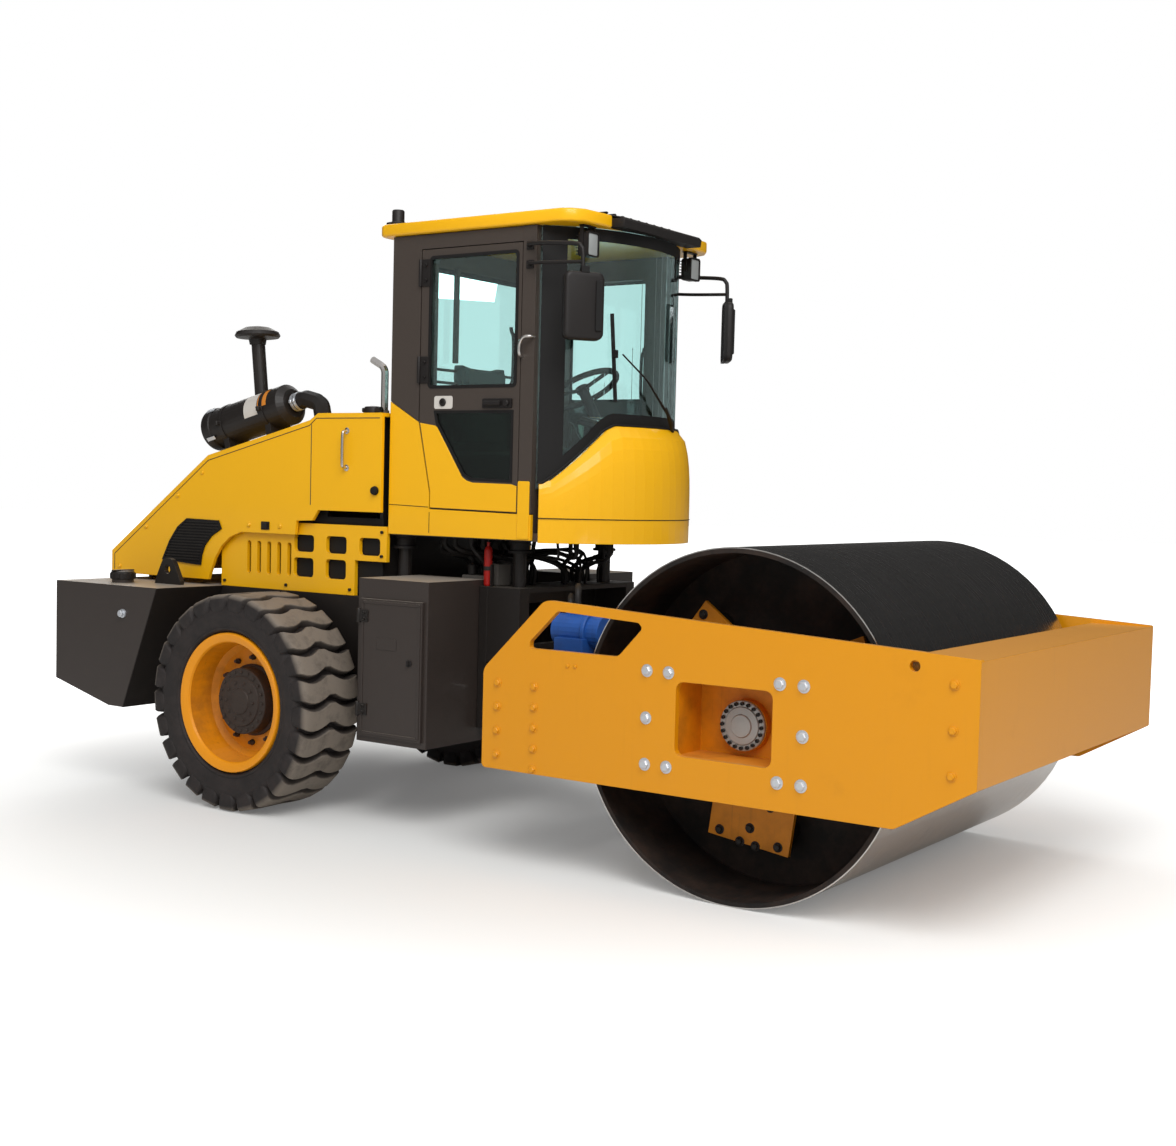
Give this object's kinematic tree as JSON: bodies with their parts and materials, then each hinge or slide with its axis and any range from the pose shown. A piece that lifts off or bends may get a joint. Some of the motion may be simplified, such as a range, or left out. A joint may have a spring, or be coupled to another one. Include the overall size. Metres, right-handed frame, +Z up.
{
  "type": "single drum road roller",
  "caption": "Articulated soil compactor with a smooth steel drum in a plate frame, an enclosed cab, a tilting engine hood and rubber-tyred rear wheels.",
  "frame": {"origin": "on the ground, midway between the front face of the drum frame and the rear face of the hood, on the machine's middle plane", "axes": "+X forwards in the driving direction, +Y to the machine's left, +Z up"},
  "size_m": [5.539, 2.29, 3.13],
  "materials": {
    "yellow_enamel": "satin yellow enamel on sheet steel and plate",
    "orange_enamel": "satin orange enamel",
    "black_enamel": "black enamel",
    "charcoal_enamel": "dark brown-grey enamel",
    "tyre_rubber": "worn black rubber",
    "rolled_steel": "rolled steel polished by use",
    "bright_steel": "bright steel",
    "blue_enamel": "blue enamel",
    "window_glass": "pale tinted safety glass",
    "seat_vinyl": "dark grey vinyl"
  },
  "bodies": {
    "drum": {"drum": "rolled_steel", "buffer_plate_right": "orange_enamel", "buffer_plate_left": "orange_enamel"},
    "drum_frame": {"side_plate_right": "yellow_enamel", "drum_bracket_right": "orange_enamel", "side_plate_left": "yellow_enamel", "drum_bracket_left": "orange_enamel", "front_beam": "yellow_enamel", "rear_beam": "black_enamel", "vibration_motor": "blue_enamel"},
    "steering_barrel_right": {"steering_barrel_right": "yellow_enamel"},
    "steering_rod_right": {"steering_rod_right": "bright_steel"},
    "wheel_right": {"tyre_right": "tyre_rubber", "wheel_rim_right": "orange_enamel"},
    "chassis": {"lower_panel_right": "yellow_enamel", "toolbox_right": "charcoal_enamel", "side_panel_right": "yellow_enamel", "work_lamp_right": "charcoal_enamel", "mirror_right": "black_enamel", "lower_panel_left": "yellow_enamel", "toolbox_left": "charcoal_enamel", "side_panel_left": "yellow_enamel", "work_lamp_left": "charcoal_enamel", "mirror_left": "black_enamel", "rear_frame": "black_enamel", "engine_block": "charcoal_enamel", "rear_box": "charcoal_enamel", "rear_axle": "black_enamel", "cab_frame": "charcoal_enamel", "rear_window": "window_glass", "windscreen": "window_glass", "front_cowl": "yellow_enamel", "cab_roof": "yellow_enamel", "seat_base": "black_enamel", "seat_cushion": "seat_vinyl", "seat_back": "seat_vinyl", "steering_console": "black_enamel", "steering_wheel": "black_enamel"},
    "toolbox_door_right": {"toolbox_door_right": "charcoal_enamel"},
    "cab_door_right": {"cab_door_right": "charcoal_enamel", "door_glass_right": "window_glass"},
    "steering_barrel_left": {"steering_barrel_left": "yellow_enamel"},
    "steering_rod_left": {"steering_rod_left": "bright_steel"},
    "wheel_left": {"tyre_left": "tyre_rubber", "wheel_rim_left": "orange_enamel"},
    "toolbox_door_left": {"toolbox_door_left": "charcoal_enamel"},
    "cab_door_left": {"cab_door_left": "charcoal_enamel", "door_glass_left": "window_glass"},
    "hitch": {"hitch_block": "black_enamel"},
    "hood": {"hood": "yellow_enamel", "air_cleaner": "black_enamel", "intake_hose": "black_enamel", "exhaust_pipe": "bright_steel"}
  },
  "joints": [
    {"name": "steering", "type": "hinge", "parent": "chassis", "child": "hitch", "pos_m": [0.1805, 0, 0.68], "axis": [0, 0, 1], "range_deg": [-33, 33]},
    {"name": "drum_oscillation", "type": "hinge", "parent": "hitch", "child": "drum_frame", "pos_m": [0.1805, 0, 0.68], "axis": [1, 0, 0], "range_deg": [-10, 10]},
    {"name": "drum_roll", "type": "hinge", "parent": "drum_frame", "child": "drum", "pos_m": [1.6805, 0, 0.75], "axis": [0, 1, 0], "continuous": true},
    {"name": "wheel_roll_right", "type": "hinge", "parent": "chassis", "child": "wheel_right", "pos_m": [-1.2905, -0.908, 0.567], "axis": [0, 1, 0], "continuous": true},
    {"name": "wheel_roll_left", "type": "hinge", "parent": "chassis", "child": "wheel_left", "pos_m": [-1.2905, 0.908, 0.567], "axis": [0, 1, 0], "continuous": true},
    {"name": "hood_lift", "type": "hinge", "parent": "chassis", "child": "hood", "pos_m": [-2.7045, 0, 1.16], "axis": [0, -1, 0], "range_deg": [0, 45]},
    {"name": "cab_door_swing_right", "type": "hinge", "parent": "chassis", "child": "cab_door_right", "pos_m": [-0.441, -0.6275, 2.2], "axis": [0, 0, -1], "range_deg": [0, 90]},
    {"name": "toolbox_door_swing_right", "type": "hinge", "parent": "chassis", "child": "toolbox_door_right", "pos_m": [-0.5475, -0.925, 0.8], "axis": [0, 0, -1], "range_deg": [0, 100]},
    {"name": "cab_door_swing_left", "type": "hinge", "parent": "chassis", "child": "cab_door_left", "pos_m": [-0.441, 0.6275, 2.2], "axis": [0, 0, 1], "range_deg": [0, 90]},
    {"name": "toolbox_door_swing_left", "type": "hinge", "parent": "chassis", "child": "toolbox_door_left", "pos_m": [-0.5475, 0.925, 0.8], "axis": [0, 0, 1], "range_deg": [0, 100]},
    {"name": "steering_cylinder_angle_right", "type": "hinge", "parent": "chassis", "child": "steering_barrel_right", "pos_m": [-0.4795, -0.28, 0.66], "axis": [0, 0, 1], "range_deg": [-3.38, 3.38]},
    {"name": "steering_cylinder_stroke_right", "type": "slide", "parent": "steering_barrel_right", "child": "steering_rod_right", "axis": [0.9996, -0.027, 0], "range_m": [-0.1667, 0.1667]},
    {"name": "steering_cylinder_angle_left", "type": "hinge", "parent": "chassis", "child": "steering_barrel_left", "pos_m": [-0.4795, 0.28, 0.66], "axis": [0, 0, 1], "range_deg": [-3.38, 3.38]},
    {"name": "steering_cylinder_stroke_left", "type": "slide", "parent": "steering_barrel_left", "child": "steering_rod_left", "axis": [0.9996, 0.027, 0], "range_m": [-0.1667, 0.1667]}
  ],
  "couplings": [
    {"joint": "steering_cylinder_angle_right", "follows": "steering", "ratio": 0.0934},
    {"joint": "steering_cylinder_stroke_right", "follows": "steering", "m_per_rad": 0.286},
    {"joint": "steering_cylinder_angle_left", "follows": "steering", "ratio": 0.0934},
    {"joint": "steering_cylinder_stroke_left", "follows": "steering", "m_per_rad": -0.286}
  ]
}
